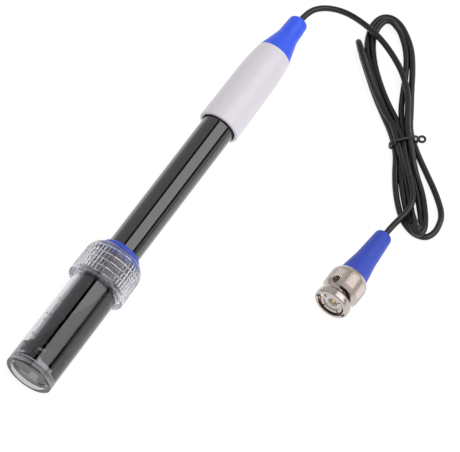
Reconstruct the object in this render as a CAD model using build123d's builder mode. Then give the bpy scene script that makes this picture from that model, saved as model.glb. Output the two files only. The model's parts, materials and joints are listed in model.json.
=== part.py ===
"""Redox electrode in its storage bottle, with its cable hank and bayonet plug.

Lengths are in millimetres. The electrode lies along +Y with the bottle at -Y.
Stations along the electrode run from the bottle's foot, and stations along the
plug run back from the front face of its coupling nut.
"""

from build123d import *
from math import acos, asin, atan2, cos, hypot, pi, sin, sqrt, tan
import os

os.makedirs("parts", exist_ok=True)

# Clearances
running_clearance = 0.06
bottle_gap = 0.3
cable_clearance = 0.05

# Electrode body with its slotted tip guard
body_diameter = 12.0
body_bore = 9.6
body_length = 119.6
tip_station = 4.9
guard_slot_width = 4.2
guard_slot_depth = 6.0

# Glass stem with the platinum tip and its lead
stem_diameter = 5.0
stem_bore = 2.2
stem_end_round = 1.4
stem_setback = 2.2
stem_past_body = 1.6
platinum_diameter = 1.8
platinum_length = 1.6
platinum_showing = 0.8
platinum_lead_diameter = 0.5
lead_hole_clearance = 0.05

# Reference half: plugs, porous junction, gel and silver wire
front_plug_setback = 7.0
front_plug_length = 3.0
rear_plug_length = 6.0
junction_diameter = 1.4
junction_ring_radius = 3.65
reference_wire_diameter = 0.6
reference_wire_start = 60.0
reference_wire_past_body = 4.5

# Cap that the body is glued into
cap_overlap = 9.85
cap_rim_diameter = 15.1
cap_rim_round = 0.5
cap_recess_diameter = 12.9
cap_recess_depth = 3.2
cap_shoulder_run = 22.35
cap_shoulder_diameter = 14.6
cap_taper_radius = 84.0
cap_length = 35.45
cap_cavity_diameter = 10.0
cap_seat_depth = 6.5
cap_seat_diameter = 7.4

# Blue cable sleeve on the cap
sleeve_length = 17.1
sleeve_spigot_length = 4.0
sleeve_waist_diameter = 7.7
sleeve_waist_run = 8.8
sleeve_waist_round = 9.0
sleeve_end_diameter = 6.9
sleeve_end_round = 1.7
cap_sleeve_end_y = 83.640

# Cable and what it joins inside the cap
cable_diameter = 2.2
cable_inside_cap = 8.1
cable_entry_setback = 2.0
grip_diameter = 5.0
grip_length = 2.2
core_diameter = 1.2
core_length = 8.0
core_joint_diameter = 2.4
core_joint_length = 5.0
screen_joint_diameter = 1.6
screen_joint_gap = 2.5
screen_joint_length = 4.5
screen_diameter = 0.7
screen_run = 2.0
screen_bend = 2.0

# Storage bottle
bottle_foot_diameter = 17.4
bottle_foot_round = 0.7
bottle_recess_diameter = 13.6
bottle_recess_depth = 1.4
bottle_floor_thickness = 1.4
bottle_bore = 14.0
bottle_shoulder_station = 41.2
bottle_shoulder_diameter = 16.9
neck_diameter = 15.4
neck_end_station = 50.2
thread_pitch = 2.5
thread_turns = 2.5
thread_height = 0.55
thread_root = 0.2
thread_foot = 1.3
thread_crest = 0.5
thread_start_station = 43.0

# Ribbed collar that clamps the seal on the bottle's neck
collar_station = 39.5
collar_diameter = 21.5
collar_band_height = 1.4
collar_shoulder_station = 49.4
collar_shoulder_diameter = 21.1
collar_bend_station = 51.6
collar_bend_diameter = 19.1
collar_top_station = 53.7
collar_hole_diameter = 15.2
collar_wall_at_hole = 1.3
collar_bore = 17.5
rib_count = 48
rib_radius = 0.46
rib_depth = 0.5

# Blue shaft seal held by the collar
seal_flange_diameter = 16.6
seal_clearance = 0.1
seal_lip_diameter = 14.7
seal_top_station = 55.6
seal_lip_round = 1.2

# Storage solution round the electrode
solution_top_station = 39.0
solution_gap = 0.02

# Bayonet plug: coupling nut
plug_front_x = 68.3
plug_front_y = -6.05
nut_flange_wall = 1.45
nut_flange_end = 2.4
nut_flange_round = 0.9
nut_waist_wall = 0.55
nut_waist_start = 3.6
nut_waist_end = 4.5
nut_barrel_wall = 1.75
nut_barrel_start = 6.3
nut_barrel_end = 11.3
nut_length = 13.8
nut_rear_wall = 0.45
nut_bore_clearance = 0.15
nut_bore_end = 10.6
nut_lip_length = 1.4
nut_lip_clearance = 0.08
nut_rear_clearance = 0.35
bayonet_slot_width = 2.2
bayonet_slot_start = 1.4
bayonet_slot_rise = 5.0
bayonet_slot_sweep = 132.0
bayonet_entry_angle = 20.0
bayonet_entry_depth = 0.9
detent_diameter = 2.6
knurl_count = 60
knurl_depth = 0.15

# Bayonet plug: body, contacts and rings
contact_diameter = 8.1
contact_bore = 6.2
contact_front = 0.6
contact_slot_width = 0.5
contact_slot_length = 4.6
contact_slot_count = 4
contact_slot_turn = 45.0
shoulder_start = 7.4
shoulder_length = 1.3
shoulder_height = 0.43
barrel_diameter = 8.64
barrel_end = 15.6
stem_end = 20.4
crimp_stem_diameter = 3.6
crimp_stem_bore = 1.9
gasket_length = 0.7
insulator_front = 1.3
insulator_end = 9.0
insulator_socket_diameter = 3.8
insulator_socket_depth = 4.2
pin_front = 1.7
pin_end = 13.0
pin_diameter = 1.36
washer_thickness = 0.4
spring_waves = 3
spring_steps = 24
spring_gap_angle = 0.06
spring_width = 0.3
spring_thickness = 0.2
snap_ring_thickness = 0.5
snap_ring_height = 0.33
snap_ring_gap = 1.6
ferrule_diameter = 4.8
ferrule_end = 24.0

# Blue sleeve on the plug
plug_sleeve_start = 13.95
plug_sleeve_wall = 0.88
plug_sleeve_length = 21.3
plug_sleeve_bend_station = 23.0
plug_sleeve_bend_diameter = 7.75
plug_sleeve_bend_round = 30.0
plug_sleeve_end_diameter = 6.1
plug_sleeve_end_round = 1.4
plug_cable_setback = 1.6

# Cable lead from the cap to the hank, corner points of its route
lead_route = [
    (0.0, 87.9, 6.1),
    (3.5, 93.2, 5.6),
    (10.6, 96.2, 4.9),
    (18.8, 96.0, 4.2),
    (26.8, 94.0, 4.0),
    (34.6, 90.3, 3.7),
    (41.4, 85.6, 3.7),
    (47.0, 79.4, 3.8),
    (51.0, 72.2, 3.7),
    (54.0, 65.6, 3.5),
]

# Cable tail from the hank to the plug, corner points of its route
tail_route = [
    (66.9, 49.2, 3.5),
    (69.6, 45.2, 3.6),
    (70.4, 40.2, 3.8),
    (69.3, 35.6, 3.7),
    (68.3, 31.3, 2.42),
]
bend_share = 0.45

# Cable hank: outlines of its loops on the table and of the openings in them
upper_loops = [
    (53.5, 60.5), (50.6, 62.0), (46.6, 66.0), (36.8, 74.2), (26.8, 84.2), (22.5, 89.8),
    (19.7, 96.5), (20.4, 102.8), (24.6, 106.1), (30.4, 104.8), (35.8, 100.7), (40.3, 95.5),
    (44.2, 89.2), (50.9, 77.0), (58.0, 67.4), (57.5, 64.0),
]
upper_opening = [
    (49.7, 69.8), (46.4, 74.0), (43.2, 79.5), (40.6, 85.6), (37.2, 92.0), (33.2, 97.2),
    (28.1, 100.4), (25.0, 98.4), (25.9, 93.3), (29.8, 87.6), (39.3, 78.0), (44.5, 73.9),
]
outer_lower_loop = [
    (52.0, 61.0), (54.6, 55.9), (58.2, 50.0), (62.4, 43.9), (67.0, 38.8), (73.0, 34.9),
    (78.6, 34.3), (82.2, 37.5), (82.4, 43.6), (78.2, 50.6), (73.2, 55.1), (62.8, 63.3),
    (58.6, 66.6), (54.5, 65.5),
]
lower_opening = [
    (65.4, 57.4), (69.7, 54.3), (74.4, 50.6), (78.3, 46.4), (80.0, 41.9), (79.5, 40.8),
    (78.6, 42.2), (76.0, 46.0), (72.0, 50.5), (67.6, 54.7),
]
inner_lower_loops = [
    (58.0, 56.6), (63.4, 48.9), (67.7, 43.4), (71.9, 38.9), (76.0, 36.2), (78.4, 37.2),
    (77.6, 41.0), (75.0, 45.2), (69.6, 51.5), (64.2, 57.0), (60.4, 60.0), (58.0, 60.0),
]
inner_opening_x = 73.2
inner_opening_y = 42.4
inner_opening_turn = -54.0
inner_opening_length = 7.5
inner_opening_width = 1.0
inner_loops_height = 4.4
loop_edge_round = 0.7

# Cable hank: loop standing on its edge, and the tied middle
edge_loop_end_x = 21.4
edge_loop_end_y = 88.3
edge_loop_tip_height = 7.4
edge_loop_width = 2.4
edge_loop_round = 2.6
tie_x = 55.0
tie_y = 63.1
tie_turn = 46.2
bundle_width = 9.0
bundle_length = 14.0
bundle_height = 5.2
bundle_round = 1.2

# Wire tie with its twisted eye
tie_wire_diameter = 0.9
tie_corner_round = 1.7
tie_eye_radius = 1.1

# Where the cap and what is in it lie along the electrode
body_end_station = tip_station + body_length
glass_stem_end = body_end_station + stem_past_body
reference_wire_end = body_end_station + reference_wire_past_body
screen_joint_start = body_end_station + screen_joint_gap
screen_joint_end = screen_joint_start + screen_joint_length
cap_rim_station = body_end_station - cap_overlap
cap_shoulder_station = cap_rim_station + cap_shoulder_run
cap_end_station = cap_rim_station + cap_length
cap_cavity_end = cap_end_station - cap_seat_depth
cable_start_station = cap_end_station - cable_inside_cap
sleeve_waist_station = cap_end_station + sleeve_waist_run
sleeve_end_station = cap_end_station + sleeve_length

# Widths of the rings, the nut and the sleeve that run on the plug's barrel
shoulder_diameter = barrel_diameter + 2 * shoulder_height
washer_diameter = shoulder_diameter
snap_ring_diameter = barrel_diameter + 2 * snap_ring_height
plug_sleeve_diameter = barrel_diameter + 2 * plug_sleeve_wall
nut_bore = shoulder_diameter + 2 * nut_bore_clearance
nut_lip_bore = barrel_diameter + 2 * nut_lip_clearance
nut_rear_bore = snap_ring_diameter + 2 * nut_rear_clearance
nut_flange_diameter = nut_bore + 2 * nut_flange_wall
nut_waist_diameter = nut_bore + 2 * nut_waist_wall
nut_barrel_diameter = nut_bore + 2 * nut_barrel_wall
nut_rear_diameter = nut_rear_bore + 2 * nut_rear_wall

# How the electrode rests: on the collar's shoulder edge and the cap's rounded shoulder
shoulder_run = cap_shoulder_station - collar_shoulder_station
shoulder_drop = collar_shoulder_diameter / 2 - cap_shoulder_diameter / 2 + cap_taper_radius
shoulder_reach = hypot(shoulder_run, shoulder_drop)
electrode_lean = acos(cap_taper_radius / shoulder_reach) - atan2(shoulder_run, shoulder_drop)
foot_height = collar_shoulder_station * sin(electrode_lean)
foot_height += collar_shoulder_diameter / 2 * cos(electrode_lean)
foot_y = cap_sleeve_end_y - sleeve_end_station * cos(electrode_lean)
electrode_start = (0, foot_y, foot_height)
electrode_way = (0, cos(electrode_lean), -sin(electrode_lean))
electrode = Plane(origin=electrode_start, x_dir=(1, 0, 0), z_dir=electrode_way)
electrode_upward = (0, sin(electrode_lean), cos(electrode_lean))
electrode_section = Plane(origin=electrode_start, x_dir=(1, 0, 0), z_dir=electrode_upward)
electrode_side = Plane(origin=electrode_start, x_dir=electrode_upward, z_dir=(-1, 0, 0))
electrode_axis = Axis(electrode_start, electrode_way)

# How the plug rests: on the rounded rear of its nut and the rounded end of its sleeve
plug_end_station = plug_sleeve_start + plug_sleeve_length
nut_rear_run = nut_length - nut_barrel_end
nut_rear_drop = (nut_barrel_diameter - nut_rear_diameter) / 2
nut_rear_round = (nut_rear_run**2 + nut_rear_drop**2) / (2 * nut_rear_drop)
plug_taper_drop = (plug_sleeve_bend_diameter - plug_sleeve_end_diameter) / 2
plug_taper = atan2(plug_taper_drop, plug_end_station - plug_sleeve_bend_station)
sleeve_round_centre = plug_sleeve_end_diameter / 2 - plug_sleeve_end_round * tan(pi / 4 - plug_taper / 2)
nut_run = plug_end_station - plug_sleeve_end_round - nut_barrel_end
nut_drop = nut_barrel_diameter / 2 - nut_rear_round - sleeve_round_centre
rounding_rise = (nut_rear_round - plug_sleeve_end_round) / hypot(nut_run, nut_drop)
plug_lean = atan2(nut_drop, nut_run) + asin(rounding_rise)
plug_front_height = (
    nut_rear_round
    + nut_barrel_end * sin(plug_lean)
    + (nut_barrel_diameter / 2 - nut_rear_round) * cos(plug_lean)
)
plug_front = (plug_front_x, plug_front_y, plug_front_height)
plug_way = (0, cos(plug_lean), -sin(plug_lean))
plug = Plane(origin=plug_front, x_dir=(1, 0, 0), z_dir=plug_way)
plug_section = Plane(origin=plug_front, x_dir=(1, 0, 0), z_dir=(0, sin(plug_lean), cos(plug_lean)))
plug_axis = Axis(plug_front, plug_way)


def tube(frame, start, end, outer, inner=0.0):
    """A plain turned tube or rod between two stations of a frame."""
    with BuildPart() as piece:
        with BuildSketch(frame.offset(start)):
            Circle(outer / 2)
            if inner:
                Circle(inner / 2, mode=Mode.SUBTRACT)
        extrude(amount=end - start)
    return piece


def corner(builder, radius, station):
    """The corner of a half section nearest a radius and a station."""
    return builder.vertices().sort_by_distance((radius, station, 0))[0]


# Electrode body: black tube whose front end is cut into four guard prongs
with BuildPart() as electrode_body:
    with BuildSketch(electrode.offset(tip_station)):
        Circle(body_diameter / 2)
        Circle(body_bore / 2, mode=Mode.SUBTRACT)
    extrude(amount=body_length)
    for side in (electrode_section, electrode_side):
        with BuildSketch(side):
            with Locations((0, tip_station + guard_slot_depth - guard_slot_width / 2)):
                Circle(guard_slot_width / 2)
            with Locations((0, tip_station)):
                Rectangle(
                    guard_slot_width,
                    guard_slot_depth - guard_slot_width / 2,
                    align=(Align.CENTER, Align.MIN),
                )
        extrude(amount=body_diameter, both=True, mode=Mode.SUBTRACT)

# Glass stem, closed and rounded at the tip, with a seat for the platinum and a hole for its lead
stem_start = tip_station + stem_setback
platinum_start = stem_start - platinum_showing
platinum_end = platinum_start + platinum_length
lead_hole_radius = platinum_lead_diameter / 2 + lead_hole_clearance
with BuildPart() as glass_stem:
    with BuildSketch(electrode_section) as stem_profile:
        with BuildLine():
            Polyline(
                (lead_hole_radius, platinum_end),
                (platinum_diameter / 2, platinum_end),
                (platinum_diameter / 2, stem_start),
                (stem_diameter / 2, stem_start),
                (stem_diameter / 2, glass_stem_end),
                (stem_bore / 2, glass_stem_end),
                (stem_bore / 2, stem_start + stem_diameter / 2),
                (lead_hole_radius, stem_start + stem_diameter / 2),
                close=True,
            )
        make_face()
        fillet(corner(stem_profile, stem_diameter / 2, stem_start), stem_end_round)
    revolve(axis=electrode_axis)

# Platinum tip in the closed end of the stem, and the lead behind it
platinum_tip = tube(electrode, platinum_start, platinum_end, platinum_diameter)
core_start = cable_start_station - core_length
platinum_lead = tube(electrode, platinum_end, core_start, platinum_lead_diameter)

# Reference half: front plug with its porous junction, gel, wire and rear plug
front_plug_start = tip_station + front_plug_setback
front_plug_end = front_plug_start + front_plug_length
rear_plug_start = body_end_station - rear_plug_length
with BuildPart() as front_plug:
    with BuildSketch(electrode.offset(front_plug_start)):
        Circle(body_bore / 2)
        Circle(stem_diameter / 2, mode=Mode.SUBTRACT)
        with Locations((0, -junction_ring_radius)):
            Circle(junction_diameter / 2, mode=Mode.SUBTRACT)
    extrude(amount=front_plug_length)
with BuildPart() as reference_junction:
    with BuildSketch(electrode.offset(front_plug_start)):
        with Locations((0, -junction_ring_radius)):
            Circle(junction_diameter / 2)
    extrude(amount=front_plug_length)
with BuildPart() as reference_wire:
    with BuildSketch(electrode.offset(reference_wire_start)):
        with Locations((0, -junction_ring_radius)):
            Circle(reference_wire_diameter / 2)
    extrude(amount=reference_wire_end - reference_wire_start)
with BuildPart() as reference_gel:
    with BuildSketch(electrode.offset(front_plug_end)):
        Circle(body_bore / 2)
        Circle(stem_diameter / 2, mode=Mode.SUBTRACT)
    extrude(amount=rear_plug_start - front_plug_end)
    with BuildSketch(electrode.offset(reference_wire_start)):
        with Locations((0, -junction_ring_radius)):
            Circle(reference_wire_diameter / 2)
    extrude(amount=rear_plug_start - reference_wire_start, mode=Mode.SUBTRACT)
with BuildPart() as rear_plug:
    with BuildSketch(electrode.offset(rear_plug_start)):
        Circle(body_bore / 2)
        Circle(stem_diameter / 2, mode=Mode.SUBTRACT)
        with Locations((0, -junction_ring_radius)):
            Circle(reference_wire_diameter / 2, mode=Mode.SUBTRACT)
    extrude(amount=rear_plug_length)

# Cap: straight tapering grip, rounded shoulder, recess round the body at the rim
cap_taper_centre = cap_shoulder_diameter / 2 - cap_taper_radius
cap_end_radius = cap_taper_centre + sqrt(cap_taper_radius**2 - (cap_end_station - cap_shoulder_station) ** 2)
with BuildPart() as cap:
    with BuildSketch(electrode_section) as cap_profile:
        with BuildLine():
            Polyline(
                (cap_shoulder_diameter / 2, cap_shoulder_station),
                (cap_rim_diameter / 2, cap_rim_station),
                (cap_recess_diameter / 2, cap_rim_station),
                (cap_recess_diameter / 2, cap_rim_station + cap_recess_depth),
                (body_diameter / 2, cap_rim_station + cap_recess_depth),
                (body_diameter / 2, body_end_station),
                (cap_cavity_diameter / 2, body_end_station),
                (cap_cavity_diameter / 2, cap_cavity_end),
                (cap_seat_diameter / 2, cap_cavity_end),
                (cap_seat_diameter / 2, cap_end_station),
                (cap_end_radius, cap_end_station),
            )
            RadiusArc(
                (cap_end_radius, cap_end_station),
                (cap_shoulder_diameter / 2, cap_shoulder_station),
                cap_taper_radius,
            )
        make_face()
        fillet(corner(cap_profile, cap_rim_diameter / 2, cap_rim_station), cap_rim_round)
    revolve(axis=electrode_axis)

# Blue sleeve that closes the cap and bends with the cable
with BuildPart() as cap_sleeve:
    with BuildSketch(electrode_section) as sleeve_profile:
        with BuildLine():
            Polyline(
                (cable_diameter / 2 + cable_clearance, cap_end_station - sleeve_spigot_length),
                (cap_seat_diameter / 2, cap_end_station - sleeve_spigot_length),
                (cap_seat_diameter / 2, cap_end_station),
                (cap_end_radius, cap_end_station),
                (sleeve_waist_diameter / 2, sleeve_waist_station),
                (sleeve_end_diameter / 2, sleeve_end_station),
                (cable_diameter / 2 + cable_clearance, sleeve_end_station),
                close=True,
            )
        make_face()
        fillet(corner(sleeve_profile, sleeve_waist_diameter / 2, sleeve_waist_station), sleeve_waist_round)
        fillet(corner(sleeve_profile, sleeve_end_diameter / 2, sleeve_end_station), sleeve_end_round)
    revolve(axis=electrode_axis)

# Cable end inside the cap, its grip ring, core and screen
cable_inner_end = sleeve_end_station - cable_entry_setback
cable_entry = tube(electrode, cable_start_station, cable_inner_end, cable_diameter)
grip_end = cap_end_station - sleeve_spigot_length
cable_grip = tube(electrode, grip_end - grip_length, grip_end, grip_diameter, cable_diameter)
cable_core = tube(electrode, core_start, cable_start_station, core_diameter)
core_joint_start = core_start - core_joint_length
core_joint = tube(electrode, core_joint_start, core_start, core_joint_diameter, platinum_lead_diameter)
with BuildPart() as screen_joint:
    with BuildSketch(electrode.offset(screen_joint_start)):
        with Locations((0, -junction_ring_radius)):
            Circle(screen_joint_diameter / 2)
    extrude(amount=screen_joint_end - screen_joint_start)
    with BuildSketch(electrode.offset(screen_joint_start)):
        with Locations((0, -junction_ring_radius)):
            Circle(reference_wire_diameter / 2)
    extrude(amount=reference_wire_end - screen_joint_start, mode=Mode.SUBTRACT)
screen_top = (core_diameter + screen_diameter) / 2
with BuildPart() as cable_screen:
    with BuildLine(electrode_side):
        FilletPolyline(
            (junction_ring_radius, screen_joint_end),
            (junction_ring_radius, screen_joint_end + screen_run),
            (screen_top, cable_start_station - screen_run),
            (screen_top, cable_start_station),
            radius=screen_bend,
        )
    with BuildSketch(electrode.offset(screen_joint_end)):
        with Locations((0, -junction_ring_radius)):
            Circle(screen_diameter / 2)
    sweep()

# Screw thread of the bottle's neck, made upright before it is placed
with BuildPart() as neck_thread:
    with BuildLine():
        thread_path = Helix(pitch=thread_pitch, height=thread_pitch * thread_turns, radius=neck_diameter / 2)
    with BuildSketch(Plane(origin=thread_path @ 0, x_dir=(1, 0, 0), z_dir=thread_path % 0)):
        with BuildLine():
            Polyline(
                (-thread_root, -thread_foot / 2),
                (thread_height, -thread_crest / 2),
                (thread_height, thread_crest / 2),
                (-thread_root, thread_foot / 2),
                close=True,
            )
        make_face()
    sweep(path=thread_path, is_frenet=True)

# Storage bottle: foot ring round a recessed floor, drawn-in neck with its thread
bottle_inner_floor = bottle_recess_depth + bottle_floor_thickness
with BuildPart() as storage_bottle:
    with BuildSketch(electrode_section) as bottle_profile:
        with BuildLine():
            Polyline(
                (0, bottle_recess_depth),
                (bottle_recess_diameter / 2, bottle_recess_depth),
                (bottle_recess_diameter / 2, 0),
                (bottle_foot_diameter / 2, 0),
                (bottle_shoulder_diameter / 2, bottle_shoulder_station),
                (neck_diameter / 2, bottle_shoulder_station),
                (neck_diameter / 2, neck_end_station),
                (bottle_bore / 2, neck_end_station),
                (bottle_bore / 2, bottle_inner_floor),
                (0, bottle_inner_floor),
                close=True,
            )
        make_face()
        fillet(corner(bottle_profile, bottle_foot_diameter / 2, 0), bottle_foot_round)
    revolve(axis=electrode_axis)
    add(electrode.offset(thread_start_station).location * neck_thread.part)

# Storage solution, a ring round the electrode and a disc under its tip
with BuildPart() as storage_solution:
    with BuildSketch(electrode_section):
        with BuildLine():
            Polyline(
                (0, bottle_inner_floor + solution_gap),
                (bottle_bore / 2 - solution_gap, bottle_inner_floor + solution_gap),
                (bottle_bore / 2 - solution_gap, solution_top_station),
                (body_diameter / 2 + bottle_gap, solution_top_station),
                (body_diameter / 2 + bottle_gap, tip_station - bottle_gap),
                (0, tip_station - bottle_gap),
                close=True,
            )
        make_face()
    revolve(axis=electrode_axis)

# Ribbed collar: a gear of round ribs cut to the turned outline, over a plain band
collar_root = collar_diameter / 2 - rib_depth
with BuildPart() as bottle_collar:
    with BuildSketch(electrode.offset(collar_station)):
        Circle(collar_root)
        with PolarLocations(collar_diameter / 2 - rib_radius, rib_count):
            Circle(rib_radius)
    extrude(amount=collar_top_station - collar_station)
    with BuildSketch(electrode_section):
        with BuildLine():
            Polyline(
                (0, collar_top_station),
                (0, collar_station),
                (collar_diameter / 2, collar_station),
                (collar_shoulder_diameter / 2, collar_shoulder_station),
            )
            ThreePointArc(
                (collar_shoulder_diameter / 2, collar_shoulder_station),
                (collar_bend_diameter / 2, collar_bend_station),
                (collar_hole_diameter / 2, collar_top_station),
            )
            Line((collar_hole_diameter / 2, collar_top_station), (0, collar_top_station))
        make_face()
    revolve(axis=electrode_axis, mode=Mode.INTERSECT)
    with BuildSketch(electrode.offset(collar_station)):
        Circle(collar_diameter / 2)
    extrude(amount=collar_band_height)
    with BuildSketch(electrode.offset(collar_station)):
        Circle(collar_bore / 2)
    extrude(amount=collar_top_station - collar_wall_at_hole - collar_station, mode=Mode.SUBTRACT)
    with BuildSketch(electrode.offset(collar_station)):
        Circle(collar_hole_diameter / 2)
    extrude(amount=collar_top_station - collar_station, mode=Mode.SUBTRACT)

# Blue seal: a flange between the neck and the collar, and a lip round the shaft
seal_bore = body_diameter / 2 + running_clearance
with BuildPart() as shaft_seal:
    with BuildSketch(electrode_section) as seal_profile:
        with BuildLine():
            Polyline(
                (seal_bore, neck_end_station + seal_clearance),
                (seal_flange_diameter / 2, neck_end_station + seal_clearance),
                (seal_flange_diameter / 2, collar_top_station - collar_wall_at_hole - seal_clearance),
                (seal_lip_diameter / 2, collar_top_station - collar_wall_at_hole - seal_clearance),
                (seal_lip_diameter / 2, seal_top_station),
                (seal_bore, seal_top_station),
                close=True,
            )
        make_face()
        fillet(corner(seal_profile, seal_lip_diameter / 2, seal_top_station), seal_lip_round)
    revolve(axis=electrode_axis)

# Coupling nut: front flange, waist, knurled barrel, inner lip and bayonet slots
slot_floor = nut_bore / 2 + bayonet_entry_depth
slot_radius = (slot_floor + nut_lip_bore / 2) / 2
slot_pitch = bayonet_slot_rise * 360 / bayonet_slot_sweep
with BuildPart() as bayonet_slot:
    with BuildLine():
        slot_path = Helix(slot_pitch, bayonet_slot_rise, slot_radius, lefthand=True)
    with BuildSketch(Plane(origin=slot_path @ 0, x_dir=(1, 0, 0), z_dir=slot_path % 0)):
        Rectangle(slot_floor - nut_lip_bore / 2, bayonet_slot_width)
    sweep(path=slot_path, is_frenet=True)
slot_end = slot_path @ 1
slot_end_spoke = Vector(slot_end.X, slot_end.Y, 0)
with BuildPart() as coupling_nut:
    with BuildSketch(plug_section) as nut_profile:
        with BuildLine():
            Polyline(
                (nut_rear_diameter / 2, nut_length),
                (nut_rear_bore / 2, nut_length),
                (nut_rear_bore / 2, nut_bore_end + nut_lip_length),
                (nut_lip_bore / 2, nut_bore_end + nut_lip_length),
                (nut_lip_bore / 2, nut_bore_end),
                (nut_bore / 2, nut_bore_end),
                (nut_bore / 2, 0),
                (nut_flange_diameter / 2, 0),
                (nut_flange_diameter / 2, nut_flange_end),
                (nut_waist_diameter / 2, nut_waist_start),
                (nut_waist_diameter / 2, nut_waist_end),
                (nut_barrel_diameter / 2, nut_barrel_start),
                (nut_barrel_diameter / 2, nut_barrel_end),
            )
            RadiusArc(
                (nut_barrel_diameter / 2, nut_barrel_end),
                (nut_rear_diameter / 2, nut_length),
                -nut_rear_round,
            )
        make_face()
        fillet(corner(nut_profile, nut_flange_diameter / 2, 0), nut_flange_round)
        fillet(corner(nut_profile, nut_flange_diameter / 2, nut_flange_end), nut_flange_round)
    revolve(axis=plug_axis)
    with BuildSketch(plug.offset(nut_barrel_start)):
        with PolarLocations(nut_barrel_diameter / 2, knurl_count):
            RegularPolygon(knurl_depth, 4)
    extrude(amount=nut_barrel_end - nut_barrel_start, mode=Mode.SUBTRACT)
    with BuildSketch(plug):
        with PolarLocations(nut_bore / 2, 2, start_angle=bayonet_entry_angle):
            Rectangle(2 * bayonet_entry_depth, bayonet_slot_width)
    extrude(amount=bayonet_slot_start + bayonet_slot_width / 2, mode=Mode.SUBTRACT)
    for half_turn in (0, 180):
        slot_turn = Location((0, 0, 0), (0, 0, bayonet_entry_angle + half_turn))
        slot_place = plug.offset(bayonet_slot_start).location * slot_turn
        add(slot_place * bayonet_slot.part, mode=Mode.SUBTRACT)
        detent_place = slot_place * Pos(slot_end)
        detent_axis = Plane(slot_place).from_local_coords(slot_end_spoke) - slot_place.position
        with BuildSketch(Plane(origin=detent_place.position, z_dir=detent_axis)):
            Circle(detent_diameter / 2)
        extrude(amount=slot_radius - nut_lip_bore / 2, both=True, mode=Mode.SUBTRACT)
        with BuildSketch(Plane(origin=detent_place.position, z_dir=detent_axis)):
            Circle(detent_diameter / 2)
        extrude(amount=nut_barrel_diameter / 2 - slot_radius, mode=Mode.SUBTRACT)

# Plug body: slotted outer contact, shoulder, barrel with its ring groove, crimp stem
snap_ring_start = nut_bore_end + nut_lip_length + running_clearance
snap_ring_end = snap_ring_start + snap_ring_thickness
groove_diameter = barrel_diameter - (snap_ring_diameter - barrel_diameter)
with BuildPart() as plug_body:
    with BuildSketch(plug_section):
        with BuildLine():
            Polyline(
                (contact_bore / 2, contact_front),
                (contact_diameter / 2, contact_front),
                (contact_diameter / 2, shoulder_start),
                (shoulder_diameter / 2, shoulder_start),
                (shoulder_diameter / 2, shoulder_start + shoulder_length),
                (barrel_diameter / 2, shoulder_start + shoulder_length),
                (barrel_diameter / 2, snap_ring_start),
                (groove_diameter / 2, snap_ring_start),
                (groove_diameter / 2, snap_ring_end),
                (barrel_diameter / 2, snap_ring_end),
                (barrel_diameter / 2, barrel_end),
                (crimp_stem_diameter / 2, barrel_end),
                (crimp_stem_diameter / 2, stem_end),
                (crimp_stem_bore / 2, stem_end),
                (crimp_stem_bore / 2, insulator_end),
                (contact_bore / 2, insulator_end),
                close=True,
            )
        make_face()
    revolve(axis=plug_axis)
    with BuildSketch(plug.offset(contact_front)):
        with PolarLocations(contact_diameter / 2, contact_slot_count, start_angle=contact_slot_turn):
            Rectangle(contact_diameter - contact_bore, contact_slot_width)
    extrude(amount=contact_slot_length, mode=Mode.SUBTRACT)

gasket_start = shoulder_start - gasket_length
contact_gasket = tube(plug, gasket_start, shoulder_start, shoulder_diameter, contact_diameter)

# Insulator with the socket that takes the mating half, and the centre pin
with BuildPart() as contact_insulator:
    with BuildSketch(plug.offset(insulator_front)):
        Circle(contact_bore / 2)
        Circle(pin_diameter / 2, mode=Mode.SUBTRACT)
    extrude(amount=insulator_end - insulator_front)
    with BuildSketch(plug.offset(insulator_front)):
        Circle(insulator_socket_diameter / 2)
    extrude(amount=insulator_socket_depth, mode=Mode.SUBTRACT)
with BuildPart() as centre_pin:
    with BuildSketch(plug_section) as pin_profile:
        with Locations((0, pin_front)):
            Rectangle(pin_diameter / 2, pin_end - pin_front, align=(Align.MIN, Align.MIN))
        fillet(corner(pin_profile, pin_diameter / 2, pin_front), pin_diameter / 3)
    revolve(axis=plug_axis)

# Rings behind the shoulder: wave spring, thrust washer, split snap ring
washer_end = nut_bore_end - running_clearance
washer_start = washer_end - washer_thickness
spring_start = shoulder_start + shoulder_length + running_clearance
spring_end = washer_start - running_clearance
spring_radius = (barrel_diameter + washer_diameter) / 4
spring_middle = (spring_start + spring_end) / 2
spring_rise = (spring_end - spring_start - spring_thickness) / 2
with BuildPart() as wave_spring:
    with BuildLine(plug.offset(spring_middle)):
        spring_points = []
        for step in range(spring_steps + 1):
            bearing = spring_gap_angle + (2 * pi - 2 * spring_gap_angle) * step / spring_steps
            rise = spring_rise * cos(spring_waves * bearing)
            spring_points.append((spring_radius * cos(bearing), spring_radius * sin(bearing), rise))
        spring_path = Spline(*spring_points)
    with BuildSketch(Plane(origin=spring_path @ 0, x_dir=plug.z_dir, z_dir=spring_path % 0)):
        Rectangle(spring_thickness, spring_width)
    sweep(path=spring_path)
thrust_washer = tube(plug, washer_start, washer_end, washer_diameter, barrel_diameter + 2 * running_clearance)
with BuildPart() as snap_ring:
    with BuildSketch(plug.offset(snap_ring_start)):
        Circle(snap_ring_diameter / 2)
        Circle(groove_diameter / 2, mode=Mode.SUBTRACT)
        with Locations((0, snap_ring_diameter / 2)):
            Rectangle(snap_ring_gap, snap_ring_diameter / 2, mode=Mode.SUBTRACT)
    extrude(amount=snap_ring_thickness)

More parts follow.
